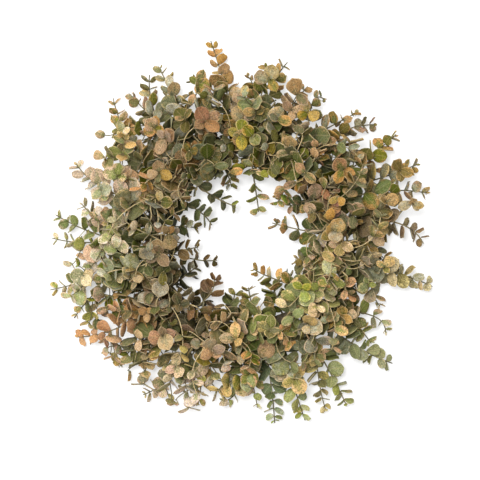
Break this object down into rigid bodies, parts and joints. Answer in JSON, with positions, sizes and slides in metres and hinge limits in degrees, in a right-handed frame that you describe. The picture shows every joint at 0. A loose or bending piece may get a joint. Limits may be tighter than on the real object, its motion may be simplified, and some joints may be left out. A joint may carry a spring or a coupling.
{
  "type": "eucalyptus wreath",
  "caption": "Artificial silver-dollar eucalyptus wreath: leafy sprays in sage, olive, gold, peach and rose tints wired to a hidden ring of twisted vine.",
  "frame": {"origin": "under the middle of the wreath's box, on the plane that it lies on", "axes": "+Z out of the wreath's front face, up when it lies on its back; +Y towards the top of the wreath as it hangs; +X to its right, seen from the front"},
  "size_m": [0.6108, 0.6044, 0.0966],
  "materials": {
    "twig_bark": "rough dry bark",
    "tie_wire": "dull green binding wire",
    "leaf_sage": "matte, dusty",
    "leaf_olive": "matte, dusty",
    "leaf_moss": "matte, dusty",
    "leaf_gold": "matte, dusty",
    "leaf_peach": "matte, dusty",
    "leaf_cream": "matte, dusty",
    "leaf_rust": "matte, dusty",
    "leaf_rose": "matte, dusty"
  },
  "bodies": {
    "root": {"twig_ring": "twig_bark", "wire_tie_1": "tie_wire", "wire_tie_2": "tie_wire", "wire_tie_3": "tie_wire", "outer_spray_01": "leaf_gold", "outer_spray_02": "leaf_peach", "outer_spray_03": "leaf_gold", "outer_spray_04": "leaf_peach", "outer_spray_05": "leaf_peach", "outer_spray_06": "leaf_peach", "outer_spray_07": "leaf_cream", "outer_spray_08": "leaf_gold", "outer_spray_09": "leaf_sage", "outer_spray_10": "leaf_rust", "outer_spray_11": "leaf_olive", "outer_spray_12": "leaf_cream", "outer_spray_13": "leaf_cream", "outer_spray_14": "leaf_olive", "outer_spray_15": "leaf_sage", "outer_spray_16": "leaf_olive", "outer_spray_17": "leaf_cream", "outer_spray_18": "leaf_sage", "outer_spray_19": "leaf_gold", "outer_spray_20": "leaf_sage", "outer_spray_21": "leaf_rust", "outer_spray_22": "leaf_olive", "outer_spray_23": "leaf_rose", "outer_spray_24": "leaf_gold", "outer_spray_25": "leaf_rose", "outer_spray_26": "leaf_olive", "outer_spray_27": "leaf_gold", "outer_spray_28": "leaf_gold", "outer_spray_29": "leaf_olive", "inner_spray_01": "leaf_olive", "inner_spray_02": "leaf_moss", "inner_spray_03": "leaf_peach", "inner_spray_04": "leaf_sage", "inner_spray_05": "leaf_moss", "inner_spray_06": "leaf_olive", "inner_spray_07": "leaf_moss", "inner_spray_08": "leaf_peach", "inner_spray_09": "leaf_sage", "inner_spray_10": "leaf_olive", "inner_spray_11": "leaf_moss", "inner_spray_12": "leaf_sage", "inner_spray_13": "leaf_olive", "inner_spray_14": "leaf_cream", "inner_spray_15": "leaf_rose", "inner_spray_16": "leaf_olive", "front_spray_01": "leaf_rose", "front_spray_02": "leaf_olive", "front_spray_03": "leaf_gold", "front_spray_04": "leaf_olive", "front_spray_05": "leaf_peach", "front_spray_06": "leaf_sage", "front_spray_07": "leaf_cream", "front_spray_08": "leaf_rust", "front_spray_09": "leaf_peach", "front_spray_10": "leaf_sage", "front_spray_11": "leaf_cream"}
  },
  "joints": []
}
